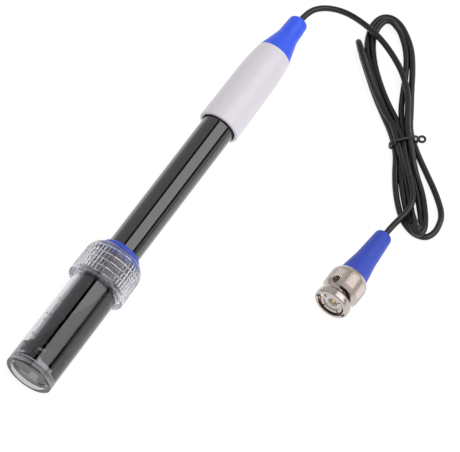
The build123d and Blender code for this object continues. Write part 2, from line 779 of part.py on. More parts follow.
# Crimp ferrule over the stem and the cable
cable_hole = cable_diameter + 2 * cable_clearance
with BuildPart() as crimp_ferrule:
    with BuildSketch(plug.offset(barrel_end)):
        Circle(ferrule_diameter / 2)
        Circle(crimp_stem_diameter / 2, mode=Mode.SUBTRACT)
    extrude(amount=stem_end - barrel_end)
    with BuildSketch(plug.offset(stem_end)):
        Circle(ferrule_diameter / 2)
        Circle(cable_diameter / 2, mode=Mode.SUBTRACT)
    extrude(amount=ferrule_end - stem_end)
plug_cable_end = plug_end_station - plug_cable_setback
plug_cable = tube(plug, stem_end, plug_cable_end, cable_diameter)
plug_core = tube(plug, pin_end, stem_end, core_diameter)

# Blue sleeve over the plug's rear
with BuildPart() as plug_sleeve:
    with BuildSketch(plug_section) as plug_sleeve_profile:
        with BuildLine():
            Polyline(
                (barrel_diameter / 2, plug_sleeve_start),
                (plug_sleeve_diameter / 2, plug_sleeve_start),
                (plug_sleeve_bend_diameter / 2, plug_sleeve_bend_station),
                (plug_sleeve_end_diameter / 2, plug_end_station),
                (cable_hole / 2, plug_end_station),
                (cable_hole / 2, ferrule_end),
                (ferrule_diameter / 2, ferrule_end),
                (ferrule_diameter / 2, barrel_end),
                (barrel_diameter / 2, barrel_end),
                close=True,
            )
        make_face()
        sleeve_bend = corner(plug_sleeve_profile, plug_sleeve_bend_diameter / 2, plug_sleeve_bend_station)
        fillet(sleeve_bend, plug_sleeve_bend_round)
        sleeve_end = corner(plug_sleeve_profile, plug_sleeve_end_diameter / 2, plug_end_station)
        fillet(sleeve_end, plug_sleeve_end_round)
    revolve(axis=plug_axis)

# Cable hank: loops of cable lying round openings, their upper edges rounded
loop_slabs = []
for outline, opening in ((upper_loops, upper_opening), (outer_lower_loop, lower_opening)):
    with BuildPart() as loop_slab:
        with BuildSketch():
            with BuildLine():
                Spline(*outline, periodic=True)
            make_face()
            with BuildLine():
                Spline(*opening, periodic=True)
            make_face(mode=Mode.SUBTRACT)
        extrude(amount=cable_diameter)
        fillet(loop_slab.faces().sort_by(Axis.Z)[-1].edges(), loop_edge_round)
    loop_slabs.append(loop_slab)
with BuildPart() as inner_slab:
    with BuildSketch():
        with BuildLine():
            Spline(*inner_lower_loops, periodic=True)
        make_face()
        with Locations(Location((inner_opening_x, inner_opening_y, 0), (0, 0, inner_opening_turn))):
            SlotOverall(inner_opening_length, inner_opening_width, mode=Mode.SUBTRACT)
    extrude(amount=inner_loops_height)
    fillet(inner_slab.faces().sort_by(Axis.Z)[-1].edges(), loop_edge_round)

# Cable hank: the loops joined with the tied middle and the loop that stands on its edge
tie_plane = Plane(origin=(tie_x, tie_y, 0)).rotated((0, 0, tie_turn))
with BuildPart() as cable_hank:
    for loop_slab in (*loop_slabs, inner_slab):
        add(loop_slab.part)
    with BuildSketch(tie_plane) as bundle_sketch:
        Rectangle(bundle_width, bundle_length)
        fillet(bundle_sketch.vertices(), bundle_round)
    extrude(amount=bundle_height)
    edge_loop_way = Vector(edge_loop_end_x - tie_x, edge_loop_end_y - tie_y, 0)
    edge_loop_length = edge_loop_way.length
    edge_plane = Plane(origin=(tie_x, tie_y, 0), x_dir=edge_loop_way, z_dir=edge_loop_way.cross(Vector(0, 0, 1)))
    with BuildSketch(edge_plane) as edge_loop_sketch:
        with BuildLine():
            Polyline(
                (0, 0),
                (edge_loop_length, 0),
                (edge_loop_length, edge_loop_tip_height),
                (0, bundle_height / 2),
                close=True,
            )
        make_face()
        fillet(corner(edge_loop_sketch, edge_loop_length, 0), edge_loop_round)
        fillet(corner(edge_loop_sketch, edge_loop_length, edge_loop_tip_height), edge_loop_round)
    extrude(amount=edge_loop_width / 2, both=True)

# Wire tie round the hank's middle, with its twisted eye at one end
tie_frame = Plane(origin=(tie_x, tie_y, 0), x_dir=tie_plane.x_dir, z_dir=-tie_plane.y_dir)
tie_half_width = (bundle_width + tie_wire_diameter) / 2
tie_low = tie_wire_diameter / 2
tie_high = bundle_height + tie_wire_diameter / 2
with BuildPart() as cable_tie:
    with BuildLine(tie_frame):
        FilletPolyline(
            (-tie_half_width, tie_low),
            (tie_half_width, tie_low),
            (tie_half_width, tie_high),
            (-tie_half_width, tie_high),
            radius=tie_corner_round,
            close=True,
        )
    with BuildSketch(Plane(origin=tie_frame.from_local_coords((0, tie_low)), z_dir=tie_frame.x_dir)):
        Circle(tie_wire_diameter / 2)
    sweep()
    eye_middle = tie_half_width + tie_eye_radius + tie_wire_diameter / 2
    with BuildSketch(tie_frame):
        with Locations((eye_middle + tie_eye_radius, bundle_height / 2)):
            Circle(tie_wire_diameter / 2)
    revolve(axis=Axis(tie_frame.from_local_coords((eye_middle, 0)), (0, 0, 1)))


def cord_tube(points, name):
    """A round cord along straight runs joined by arcs as large as the runs allow."""
    radii = []
    for before, here, after in zip(points, points[1:], points[2:]):
        run_in = Vector(*here) - Vector(*before)
        run_out = Vector(*after) - Vector(*here)
        turn = run_in.get_angle(run_out) * pi / 180
        radii.append(bend_share * min(run_in.length, run_out.length) / tan(turn / 2))
    with BuildPart() as piece:
        with BuildLine() as path:
            FilletPolyline(*points, radius=radii)
        with BuildSketch(Plane(origin=path.wire() @ 0, z_dir=path.wire() % 0)):
            Circle(cable_diameter / 2)
        sweep(path=path.wire())
    length = path.wire().length
    share = piece.part.volume / (pi * cable_diameter**2 / 4 * length)
    print(name, "length", round(length, 1), "radii", [round(radius, 1) for radius in radii])
    print(name, "volume over section times length", round(share, 4))
    return piece


# Cable lead to the hank and cable tail to the plug
cable_exit = electrode.from_local_coords((0, 0, cable_inner_end))
cable_lead = cord_tube([tuple(cable_exit), *lead_route], "cable lead")
cable_return = plug.from_local_coords((0, 0, plug_cable_end))
cable_tail = cord_tube([*tail_route, tuple(cable_return)], "cable tail")

# One STEP file for each piece
pieces = {
    "electrode_body": electrode_body,
    "glass_stem": glass_stem,
    "platinum_tip": platinum_tip,
    "platinum_lead": platinum_lead,
    "front_plug": front_plug,
    "reference_junction": reference_junction,
    "reference_wire": reference_wire,
    "reference_gel": reference_gel,
    "rear_plug": rear_plug,
    "cap": cap,
    "cap_sleeve": cap_sleeve,
    "cable_entry": cable_entry,
    "cable_grip": cable_grip,
    "cable_core": cable_core,
    "core_joint": core_joint,
    "cable_screen": cable_screen,
    "screen_joint": screen_joint,
    "storage_bottle": storage_bottle,
    "storage_solution": storage_solution,
    "bottle_collar": bottle_collar,
    "shaft_seal": shaft_seal,
    "cable_lead": cable_lead,
    "cable_hank": cable_hank,
    "cable_tie": cable_tie,
    "cable_tail": cable_tail,
    "plug_sleeve": plug_sleeve,
    "plug_cable": plug_cable,
    "plug_core": plug_core,
    "crimp_ferrule": crimp_ferrule,
    "plug_body": plug_body,
    "contact_insulator": contact_insulator,
    "centre_pin": centre_pin,
    "contact_gasket": contact_gasket,
    "wave_spring": wave_spring,
    "thrust_washer": thrust_washer,
    "snap_ring": snap_ring,
    "coupling_nut": coupling_nut,
}
for name, piece in pieces.items():
    piece.part.label = name
    export_step(piece.part, f"parts/{name}.step")
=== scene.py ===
"""Redox electrode lying in its storage bottle, with its cable hank and bayonet plug."""
import json
import math

import bmesh
import bpy
from mathutils import Matrix, Vector


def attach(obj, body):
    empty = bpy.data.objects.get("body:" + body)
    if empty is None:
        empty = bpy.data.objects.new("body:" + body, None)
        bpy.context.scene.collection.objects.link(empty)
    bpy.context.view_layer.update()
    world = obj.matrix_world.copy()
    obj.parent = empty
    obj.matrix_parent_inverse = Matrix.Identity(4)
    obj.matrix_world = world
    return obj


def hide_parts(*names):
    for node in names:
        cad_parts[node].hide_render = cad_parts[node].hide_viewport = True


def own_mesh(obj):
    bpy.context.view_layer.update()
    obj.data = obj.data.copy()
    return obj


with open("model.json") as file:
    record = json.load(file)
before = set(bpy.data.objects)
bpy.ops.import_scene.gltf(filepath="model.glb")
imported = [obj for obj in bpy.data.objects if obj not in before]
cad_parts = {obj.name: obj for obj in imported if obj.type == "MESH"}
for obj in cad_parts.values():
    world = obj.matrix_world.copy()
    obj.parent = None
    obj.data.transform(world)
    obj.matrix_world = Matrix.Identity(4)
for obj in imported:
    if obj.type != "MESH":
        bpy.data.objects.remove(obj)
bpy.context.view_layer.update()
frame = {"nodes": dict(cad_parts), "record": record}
nodes = frame["nodes"]

# Sizes of the pieces are in millimetres, and the frame is in metres
mm = 0.001

# The electrode and the plug each lie along an axis, given by where it starts and its direction
right = Vector((1.0, 0.0, 0.0))
electrode_foot = Vector((0.0, -0.083449, 0.012343))
electrode_way = Vector((0.0, 0.999336, -0.036439))
electrode_up = right.cross(electrode_way)
plug_face = Vector((0.0683, -0.00605, 0.008357))
plug_way = Vector((0.0, 0.987962, -0.154695))

# Cable, corner points of its route from the cap through the hank to the plug, in metres
lead_route = [
    (0.0000, 0.0816, 0.0063), (0.0000, 0.0879, 0.0061), (0.0035, 0.0932, 0.0056),
    (0.0106, 0.0962, 0.0049), (0.0188, 0.0960, 0.0042), (0.0268, 0.0940, 0.0040),
    (0.0346, 0.0903, 0.0036), (0.0414, 0.0856, 0.0034), (0.0470, 0.0794, 0.0035),
    (0.0510, 0.0722, 0.0037),
]
hank_route = [
    (0.0536, 0.0676, 0.00484), (0.0586, 0.0621, 0.00430), (0.0640, 0.0558, 0.00192),
    (0.0704, 0.0503, 0.00118), (0.0757, 0.0433, 0.00180), (0.0775, 0.0400, 0.00300),
    (0.0782, 0.0386, 0.00320), (0.0786, 0.0368, 0.00340), (0.0785, 0.0355, 0.00340),
    (0.0773, 0.0352, 0.00340), (0.0759, 0.0354, 0.00320), (0.0745, 0.0365, 0.00290),
    (0.0734, 0.0374, 0.00180), (0.0689, 0.0418, 0.00118), (0.0631, 0.0486, 0.00120),
    (0.0584, 0.0555, 0.00169), (0.0540, 0.0627, 0.00208), (0.0488, 0.0695, 0.00164),
    (0.0418, 0.0743, 0.00118), (0.0353, 0.0797, 0.00118), (0.0292, 0.0858, 0.00118),
    (0.0243, 0.0927, 0.00130), (0.0232, 0.0971, 0.00210), (0.0234, 0.0995, 0.00280),
    (0.0241, 0.1017, 0.00310), (0.0260, 0.1026, 0.00310), (0.0284, 0.1020, 0.00260),
    (0.0310, 0.1010, 0.00170), (0.0363, 0.0959, 0.00118), (0.0408, 0.0883, 0.00118),
    (0.0441, 0.0806, 0.00118), (0.0479, 0.0729, 0.00135), (0.0532, 0.0663, 0.00208),
    (0.0592, 0.0602, 0.00198), (0.0645, 0.0538, 0.00124), (0.0706, 0.0472, 0.00118),
    (0.0747, 0.0420, 0.00120), (0.0751, 0.0410, 0.00180), (0.0763, 0.0397, 0.00210),
    (0.0768, 0.0390, 0.00250), (0.0772, 0.0382, 0.00280), (0.0771, 0.0375, 0.00300),
    (0.0767, 0.0367, 0.00320), (0.0761, 0.0365, 0.00320), (0.0755, 0.0370, 0.00310),
    (0.0748, 0.0378, 0.00290), (0.0740, 0.0388, 0.00270), (0.0730, 0.0399, 0.00240),
    (0.0716, 0.0413, 0.00180), (0.0663, 0.0478, 0.00118), (0.0607, 0.0542, 0.00271),
    (0.0548, 0.0602, 0.00420), (0.0488, 0.0663, 0.00363), (0.0422, 0.0714, 0.00190),
    (0.0358, 0.0771, 0.00118), (0.0298, 0.0830, 0.00118), (0.0238, 0.0893, 0.00118),
    (0.0209, 0.0967, 0.00118), (0.0208, 0.1004, 0.00118), (0.0218, 0.1032, 0.00118),
    (0.0240, 0.1047, 0.00118), (0.0269, 0.1048, 0.00118), (0.0308, 0.1032, 0.00118),
    (0.0372, 0.0979, 0.00118), (0.0420, 0.0907, 0.00118), (0.0460, 0.0832, 0.00118),
    (0.0502, 0.0759, 0.00121), (0.0543, 0.0683, 0.00197), (0.0606, 0.0626, 0.00193),
    (0.0675, 0.0577, 0.00121), (0.0744, 0.0526, 0.00118), (0.0803, 0.0469, 0.00118),
    (0.0816, 0.0419, 0.00118), (0.0815, 0.0390, 0.00118), (0.0802, 0.0364, 0.00118),
    (0.0776, 0.0355, 0.00118), (0.0746, 0.0356, 0.00118), (0.0696, 0.0378, 0.00118),
    (0.0636, 0.0441, 0.00118), (0.0588, 0.0511, 0.00131), (0.0548, 0.0586, 0.00203),
    (0.0489, 0.0648, 0.00187), (0.0422, 0.0700, 0.00118), (0.0357, 0.0752, 0.00118),
    (0.0291, 0.0813, 0.00118), (0.0247, 0.0854, 0.00118), (0.0235, 0.0867, 0.00130),
    (0.0221, 0.0879, 0.00190), (0.0215, 0.0883, 0.00310), (0.0211, 0.0884, 0.00440),
    (0.0215, 0.0878, 0.00540), (0.0226, 0.0867, 0.00620), (0.0240, 0.0853, 0.00640),
    (0.0262, 0.0834, 0.00600), (0.0323, 0.0779, 0.00460), (0.0390, 0.0727, 0.00360),
    (0.0459, 0.0677, 0.00374), (0.0539, 0.0649, 0.00400), (0.0581, 0.0586, 0.00387),
]
tail_route = [
    (0.0669, 0.0492, 0.0035), (0.0696, 0.0452, 0.0036), (0.0704, 0.0402, 0.0038),
    (0.0693, 0.0356, 0.0037), (0.0683, 0.0313, 0.0024), (0.0683, 0.0272, 0.0031),
]
cable_diameter = 0.0022


def link(name, mesh):
    piece = bpy.data.objects.new(name, mesh)
    bpy.context.scene.collection.objects.link(piece)
    return piece


def material(name):
    made = bpy.data.materials.new(name)
    made.use_nodes = True
    return made, made.node_tree, made.node_tree.nodes["Principled BSDF"]


def wire(tree, a, b):
    tree.links.new(a, b)


# Shader group: fine moulded grain, as a height and a roughness that change over the surface
def fine_grain_group():
    group = bpy.data.node_groups.new("fine_grain", "ShaderNodeTree")
    for socket in ("Scale", "Smooth", "Rough"):
        group.interface.new_socket(socket, in_out="INPUT", socket_type="NodeSocketFloat")
    for socket in ("Height", "Roughness"):
        group.interface.new_socket(socket, in_out="OUTPUT", socket_type="NodeSocketFloat")
    inside = group.nodes.new("NodeGroupInput")
    outside = group.nodes.new("NodeGroupOutput")
    place = group.nodes.new("ShaderNodeTexCoord")
    grain = group.nodes.new("ShaderNodeTexNoise")
    grain.inputs["Detail"].default_value = 3.0
    spread = group.nodes.new("ShaderNodeMapRange")
    wire(group, place.outputs["Object"], grain.inputs["Vector"])
    wire(group, inside.outputs["Scale"], grain.inputs["Scale"])
    wire(group, grain.outputs["Fac"], spread.inputs["Value"])
    wire(group, inside.outputs["Smooth"], spread.inputs["To Min"])
    wire(group, inside.outputs["Rough"], spread.inputs["To Max"])
    wire(group, grain.outputs["Fac"], outside.inputs["Height"])
    wire(group, spread.outputs["Result"], outside.inputs["Roughness"])
    return group


fine_grain = fine_grain_group()


def grained(name, color, smooth, rough, scale, height, plain=None):
    """A surface of one colour whose grain shows in its roughness and a slight bump."""
    made, tree, skin = material(name)
    skin.inputs["Base Color"].default_value = (*color, 1.0)
    for socket, value in (plain or {}).items():
        skin.inputs[socket].default_value = value
    grain = tree.nodes.new("ShaderNodeGroup")
    grain.node_tree = fine_grain
    grain.inputs["Scale"].default_value = scale
    grain.inputs["Smooth"].default_value = smooth
    grain.inputs["Rough"].default_value = rough
    raised = tree.nodes.new("ShaderNodeBump")
    raised.inputs["Strength"].default_value = 1.0
    raised.inputs["Distance"].default_value = height
    wire(tree, grain.outputs["Roughness"], skin.inputs["Roughness"])
    wire(tree, grain.outputs["Height"], raised.inputs["Height"])
    wire(tree, raised.outputs["Normal"], skin.inputs["Normal"])
    return made


def clear(name, color, ior, roughness=0.0, clearness=1.0):
    """A surface that light passes through, with its tint and how strongly it bends light."""
    made, tree, skin = material(name)
    skin.inputs["Base Color"].default_value = (*color, 1.0)
    skin.inputs["Roughness"].default_value = roughness
    skin.inputs["IOR"].default_value = ior
    skin.inputs["Transmission Weight"].default_value = clearness
    return made


# Finishes with a grain: colour, least and most roughness, grain scale, grain height in metres
metal = {"Metallic": 1.0}
glossy_coat = {"Specular IOR Level": 0.12, "Coat Roughness": 0.06, "Coat IOR": 1.78}
cable_sheen = {"Specular IOR Level": 0.5}
grained_looks = {
    "black_body": ((0.008, 0.008, 0.009), 0.05, 0.09, 900, 0.0000015, glossy_coat),
    "platinum": ((0.75, 0.74, 0.71), 0.15, 0.3, 1500, 0.000002, metal),
    "dark_resin": ((0.04, 0.04, 0.045), 0.3, 0.45, 800, 0.000004),
    "white_ceramic": ((0.85, 0.84, 0.8), 0.6, 0.8, 3000, 0.00001),
    "silver": ((0.8, 0.8, 0.8), 0.2, 0.35, 1500, 0.000002, metal),
    "pale_grey_cap": ((0.72, 0.68, 0.735), 0.3, 0.38, 700, 0.000004),
    "royal_blue_rubber": ((0.028, 0.10, 0.86), 0.38, 0.5, 900, 0.000006),
    "black_cable": ((0.008, 0.008, 0.0085), 0.2, 0.3, 500, 0.00001, cable_sheen),
    "brass_rings": ((0.75, 0.58, 0.3), 0.2, 0.35, 900, 0.000002, metal),
    "white_insulation": ((0.8, 0.79, 0.76), 0.3, 0.45, 900, 0.000004),
    "heat_shrink": ((0.03, 0.03, 0.03), 0.4, 0.5, 900, 0.000006),
    "seal_blue_rubber": ((0.02, 0.07, 0.55), 0.35, 0.5, 900, 0.000006),
    "tie_wire": ((0.02, 0.02, 0.022), 0.3, 0.4, 900, 0.000004),
    "plug_blue_rubber": ((0.027, 0.062, 0.48), 0.42, 0.55, 900, 0.000006),
    "nickel": ((0.54, 0.475, 0.44), 0.24, 0.34, 1500, 0.000004, metal),
    "gold_pin": ((0.85, 0.62, 0.26), 0.12, 0.2, 1200, 0.000002, metal),
    "grey_gasket": ((0.3, 0.3, 0.3), 0.5, 0.6, 900, 0.000004),
    "spring_steel": ((0.5, 0.5, 0.51), 0.2, 0.3, 900, 0.000002, metal),
}

# Finishes that light passes through: tint, index of refraction, then roughness and clearness
liquid_tint = (0.80, 0.79, 0.82)
clear_looks = {
    "clear_glass": ((0.62, 0.64, 0.64), 1.5),
    "electrolyte_gel": ((0.9, 0.94, 0.95), 1.36),
    "clear_plastic": ((0.60, 0.592, 0.612), 1.49),
    "storage_liquid": (liquid_tint, 1.34),
    "clear_collar": ((0.80, 0.79, 0.84), 1.49, 0.02, 0.95),
}
looks = {name: grained(name, *values) for name, values in grained_looks.items()}
looks.update({name: clear(name, *values) for name, values in clear_looks.items()})


def painted_mask(look, attribute):
    """The look's tree and surface shader, and the mask that a piece carries as an attribute."""
    tree = looks[look].node_tree
    mask = tree.nodes.new("ShaderNodeAttribute")
    mask.attribute_name = attribute
    return tree, tree.nodes["Principled BSDF"], mask.outputs["Fac"]


# The body loses its glossy coat where the solution wets it
tree, skin, wet_mask = painted_mask("black_body", "wet")
dry = tree.nodes.new("ShaderNodeMapRange")
dry.inputs["To Min"].default_value = 1.0
dry.inputs["To Max"].default_value = 0.0
wire(tree, wet_mask, dry.inputs["Value"])
wire(tree, dry.outputs["Result"], skin.inputs["Coat Weight"])

# The solution's colour is darker at the bottle's base: painted shade for the dark shaft seen through the
# base
tree, skin, painted_base_shade_mask = painted_mask("storage_liquid", "painted_shade")
painted_base_shade = tree.nodes.new("ShaderNodeMix")
painted_base_shade.data_type = "RGBA"
painted_base_shade.inputs["A"].default_value = (*liquid_tint, 1.0)
# Colour of the painted shade at the base
painted_base_shade.inputs["B"].default_value = (0.42, 0.41, 0.42, 1.0)
wire(tree, painted_base_shade_mask, painted_base_shade.inputs["Factor"])
wire(tree, painted_base_shade.outputs["Result"], skin.inputs["Base Color"])

for subpart in frame["record"]["subparts"]:
    node = nodes[subpart["node"]]
    node.data.materials.clear()
    node.data.materials.append(looks[subpart["material_slot"]])

piece_body = {}
for body, members in frame["record"]["behaviour"]["bodies"].items():
    for member in members:
        piece_body[member] = body


def stand_in(piece, node, look):
    """The piece takes a solid's place, its finish and its body."""
    piece.data.materials.clear()
    piece.data.materials.append(looks[look])
    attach(piece, piece_body[node])
    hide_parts(node)


def shade(mesh, sharp):
    """The mesh is smooth but for the edges that turn by more than an angle in degrees."""
    mesh.polygons.foreach_set("use_smooth", [True] * len(mesh.polygons))
    mesh.set_sharp_from_angle(angle=math.radians(sharp))


smooth_to = 32.0


def rounded(corners, steps=7):
    """A turned outline in millimetres (radius, station), with an arc at each corner that gives one."""
    outline = []
    for index, (radius, station, *bend) in enumerate(corners):
        if not bend:
            outline.append((radius, station))
            continue
        here = Vector((radius, station))
        back = (Vector(corners[index - 1][:2]) - here).normalized()
        ahead = (Vector(corners[(index + 1) % len(corners)][:2]) - here).normalized()
        half = back.angle(ahead) / 2
        centre = here + (back + ahead).normalized() * bend[0] / math.sin(half)
        first = here + back * bend[0] / math.tan(half) - centre
        last = here + ahead * bend[0] / math.tan(half) - centre
        swing = first.angle(last)
        for step in range(steps + 1):
            share = step / steps
            spoke = first * math.sin((1 - share) * swing) + last * math.sin(share * swing)
            outline.append(tuple(centre + spoke / math.sin(swing)))
    return outline


def turned(name, outline, segments, foot, way, shape=None, lift=None):
    """A closed turned piece along an axis; shape and lift may move the radius and the station."""
    on_axis = 1e-6
    up = right.cross(way)
    bm = bmesh.new()
    rings = []
    for radius, station in outline:
        middle = foot + way * station * mm
        if radius < on_axis:
            rings.append([bm.verts.new(middle)])
            continue
        ring = []
        for step in range(segments):
            angle = 2 * math.pi * step / segments
            reach = shape(radius, station, angle) if shape else radius
            spoke = right * math.cos(angle) - up * math.sin(angle)
            height = lift(station, angle) - station if lift else 0.0
            ring.append(bm.verts.new(middle + (spoke * reach + way * height) * mm))
        rings.append(ring)
    for here, there in zip(rings, rings[1:] + rings[:1]):
        if len(here) == 1 and len(there) == 1:
            continue
        for step in range(segments):
            after = (step + 1) % segments
            if len(here) == 1:
                bm.faces.new((here[0], there[after], there[step]))
            elif len(there) == 1:
                bm.faces.new((here[step], here[after], there[0]))
            else:
                bm.faces.new((here[step], here[after], there[after], there[step]))
    bmesh.ops.recalc_face_normals(bm, faces=bm.faces)
    mesh = bpy.data.meshes.new(name)
    bm.to_mesh(mesh)
    bm.free()
    shade(mesh, smooth_to)
    return link(name, mesh)


def marked(piece, mask, holds):
    """The piece carries a mask that is 1 at each point where the rule holds, and 0 elsewhere."""
    values = piece.data.attributes.new(mask, "FLOAT", "POINT")
    for index, vertex in enumerate(piece.data.vertices):
        offset = (vertex.co - electrode_foot) / mm
        station = offset.dot(electrode_way)
        angle = math.degrees(math.atan2(offset.x, offset.dot(electrode_up)))
        values.data[index].value = 1.0 if holds(station, angle, offset.length) else 0.0


def made_plain(piece, sharp=smooth_to):
    """The piece's modifiers end in a plain mesh."""
    bpy.context.view_layer.update()
    shown = piece.evaluated_get(bpy.context.evaluated_depsgraph_get())
    mesh = bpy.data.meshes.new_from_object(shown)
    old = piece.data
    piece.modifiers.clear()
    piece.data = mesh
    bpy.data.meshes.remove(old)
    shade(mesh, sharp)


def carved(piece, cutters):
    """The piece with each cutter taken away from it."""
    for cutter in cutters:
        cut = piece.modifiers.new("cut", "BOOLEAN")
        cut.object = cutter
        cut.operation = "DIFFERENCE"
        cut.solver = "EXACT"
    made_plain(piece)
    for cutter in cutters:
        bpy.data.objects.remove(cutter)


def grown(piece, tree, values, sharp=smooth_to):
    """The piece as a tree of geometry nodes makes it from its named values."""
    grow = piece.modifiers.new(tree.name, "NODES")
    grow.node_group = tree
    for socket in tree.interface.items_tree:
        if socket.in_out == "INPUT" and socket.name in values:
            grow[socket.identifier] = values[socket.name]
    made_plain(piece, sharp)


def new_tree(name, numbers, counts=(), vectors=()):
    """An empty tree of geometry nodes with its named inputs."""
    tree = bpy.data.node_groups.new(name, "GeometryNodeTree")
    tree.interface.new_socket("Geometry", in_out="INPUT", socket_type="NodeSocketGeometry")
    tree.interface.new_socket("Geometry", in_out="OUTPUT", socket_type="NodeSocketGeometry")
    tree.interface.new_socket("Finish", in_out="INPUT", socket_type="NodeSocketMaterial")
    kinds = (
        (numbers, "NodeSocketFloat"),
        (counts, "NodeSocketInt"),
        (vectors, "NodeSocketVector"),
    )
    for names, kind in kinds:
        for socket in names:
            tree.interface.new_socket(socket, in_out="INPUT", socket_type=kind)
    return tree, tree.nodes.new("NodeGroupInput").outputs


def worked_out(tree, kind, operation, values):
    """A math node of a tree, with its inputs wired or set."""
    node = tree.nodes.new(kind)
    node.operation = operation
    for place, value in enumerate(values):
        if isinstance(value, bpy.types.NodeSocket):
            wire(tree, value, node.inputs[place])
        else:
            node.inputs[place].default_value = value
    return node


def number(tree, operation, *values):
    return worked_out(tree, "ShaderNodeMath", operation, values).outputs["Value"]


def measure(tree, operation, *values):
    return worked_out(tree, "ShaderNodeVectorMath", operation, values).outputs["Value"]


def arrow(tree, operation, *values):
    return worked_out(tree, "ShaderNodeVectorMath", operation, values).outputs["Vector"]


def scaled(tree, vector, factor):
    node = worked_out(tree, "ShaderNodeVectorMath", "SCALE", (vector,))
    wire(tree, factor, node.inputs["Scale"])
    return node.outputs["Vector"]


def parts_of(tree, vector):
    node = tree.nodes.new("ShaderNodeSeparateXYZ")
    wire(tree, vector, node.inputs["Vector"])
    return node.outputs


def shifted(tree, geometry, offset, selection=None):
    """The geometry with its points moved by an offset."""
    node = tree.nodes.new("GeometryNodeSetPosition")
    wire(tree, geometry, node.inputs["Geometry"])
    wire(tree, offset, node.inputs["Offset"])
    if selection:
        wire(tree, selection, node.inputs["Selection"])
    return node.outputs["Geometry"]


def end_tree(tree, shape, finish):
    """The tree ends with real geometry that carries its finish."""
    real = tree.nodes.new("GeometryNodeRealizeInstances")
    coat = tree.nodes.new("GeometryNodeSetMaterial")
    wire(tree, shape, real.inputs["Geometry"])
    wire(tree, real.outputs["Geometry"], coat.inputs["Geometry"])
    wire(tree, finish, coat.inputs["Material"])
    wire(tree, coat.outputs["Geometry"], tree.nodes.new("NodeGroupOutput").inputs["Geometry"])


def rib_tree():
    """Round ribs all round a turned piece, each cut off where the plain outline ends."""
    tree, given = new_tree(
        "round_ribs",
        ("Ring Radius", "Rib Radius", "Valley Radius", "Inner Radius", "First Station"),
        ("Ribs",),
        ("Foot", "Way", "Down"),
    )
    here = tree.nodes.new("GeometryNodeInputPosition").outputs["Position"]
    offset = arrow(tree, "SUBTRACT", here, given["Foot"])
    station = measure(tree, "DOT_PRODUCT", offset, given["Way"])
    spoke = arrow(tree, "SUBTRACT", offset, scaled(tree, given["Way"], station))
    radius = measure(tree, "LENGTH", spoke)
    down = measure(tree, "DOT_PRODUCT", spoke, given["Down"])
    angle = number(tree, "ARCTAN2", down, parts_of(tree, spoke)["X"])
    half_pitch = number(tree, "DIVIDE", math.pi, given["Ribs"])
    turn = number(tree, "WRAP", angle, half_pitch, number(tree, "MULTIPLY", half_pitch, -1.0))
    apart = number(tree, "MULTIPLY", number(tree, "ABSOLUTE", turn), given["Ring Radius"])
    rib_squared = number(tree, "POWER", given["Rib Radius"], 2.0)
    height_squared = number(tree, "SUBTRACT", rib_squared, number(tree, "POWER", apart, 2.0))
    height = number(tree, "SQRT", number(tree, "MAXIMUM", height_squared, 0.0))
    crest = number(tree, "ADD", given["Ring Radius"], height)
    on_rib = number(tree, "LESS_THAN", apart, given["Rib Radius"])
    rise = number(tree, "MULTIPLY", number(tree, "SUBTRACT", crest, given["Valley Radius"]), on_rib)
    cut = number(tree, "MINIMUM", radius, number(tree, "ADD", given["Valley Radius"], rise))
    change = number(tree, "SUBTRACT", number(tree, "DIVIDE", cut, radius), 1.0)
    outside = number(tree, "GREATER_THAN", radius, given["Inner Radius"])
    past_band = number(tree, "GREATER_THAN", station, given["First Station"])
    ribbed = shifted(
        tree,
        given["Geometry"],
        scaled(tree, spoke, change),
        number(tree, "MULTIPLY", outside, past_band),
    )
    end_tree(tree, ribbed, given["Finish"])
    return tree


def wave_tree():
    """A flat spring ring with a gap, whose strip rises and falls in waves round it."""
    tree, given = new_tree(
        "wave_ring",
        ("Radius", "Rise", "Strip Width", "Strip Thickness", "Gap Angle"),
        ("Waves", "Steps"),
    )
    ring = tree.nodes.new("GeometryNodeCurveArc")
    sweep = number(tree, "MULTIPLY_ADD", given["Gap Angle"], -2.0, 2 * math.pi)
    wire(tree, given["Steps"], ring.inputs["Resolution"])
    wire(tree, given["Radius"], ring.inputs["Radius"])
    wire(tree, given["Gap Angle"], ring.inputs["Start Angle"])
    wire(tree, sweep, ring.inputs["Sweep Angle"])
    here = parts_of(tree, tree.nodes.new("GeometryNodeInputPosition").outputs["Position"])
    bearing = number(tree, "ARCTAN2", here["Y"], here["X"])
    swing = number(tree, "COSINE", number(tree, "MULTIPLY", bearing, given["Waves"]))
    lifted = tree.nodes.new("ShaderNodeCombineXYZ")
    wire(tree, number(tree, "MULTIPLY", swing, given["Rise"]), lifted.inputs["Z"])
    upright = tree.nodes.new("GeometryNodeSetCurveNormal")
    upright.mode = "Z_UP"
    wire(tree, shifted(tree, ring.outputs["Curve"], lifted.outputs["Vector"]), upright.inputs["Curve"])
    strip = tree.nodes.new("GeometryNodeCurvePrimitiveQuadrilateral")
    wire(tree, given["Strip Width"], strip.inputs["Width"])
    wire(tree, given["Strip Thickness"], strip.inputs["Height"])
    swept = tree.nodes.new("GeometryNodeCurveToMesh")
    swept.inputs["Fill Caps"].default_value = True
    wire(tree, upright.outputs["Curve"], swept.inputs["Curve"])
    wire(tree, strip.outputs["Curve"], swept.inputs["Profile Curve"])
    end_tree(tree, swept.outputs["Mesh"], given["Finish"])
    return tree


# Where the storage solution ends, as pairs of an angle from straight up toward +X and a station
solution_end = 39.0
solution_edge = [
    (-180.0, solution_end), (-149.0, solution_end), (-142.0, 30.0), (-136.0, 7.0), (-128.0, 4.2),
    (-28.0, 4.2), (-21.0, 7.0), (-13.0, 15.5), (-3.0, 19.0), (17.0, 25.0), (37.0, 31.0),
    (50.0, solution_end), (180.0, solution_end),
]


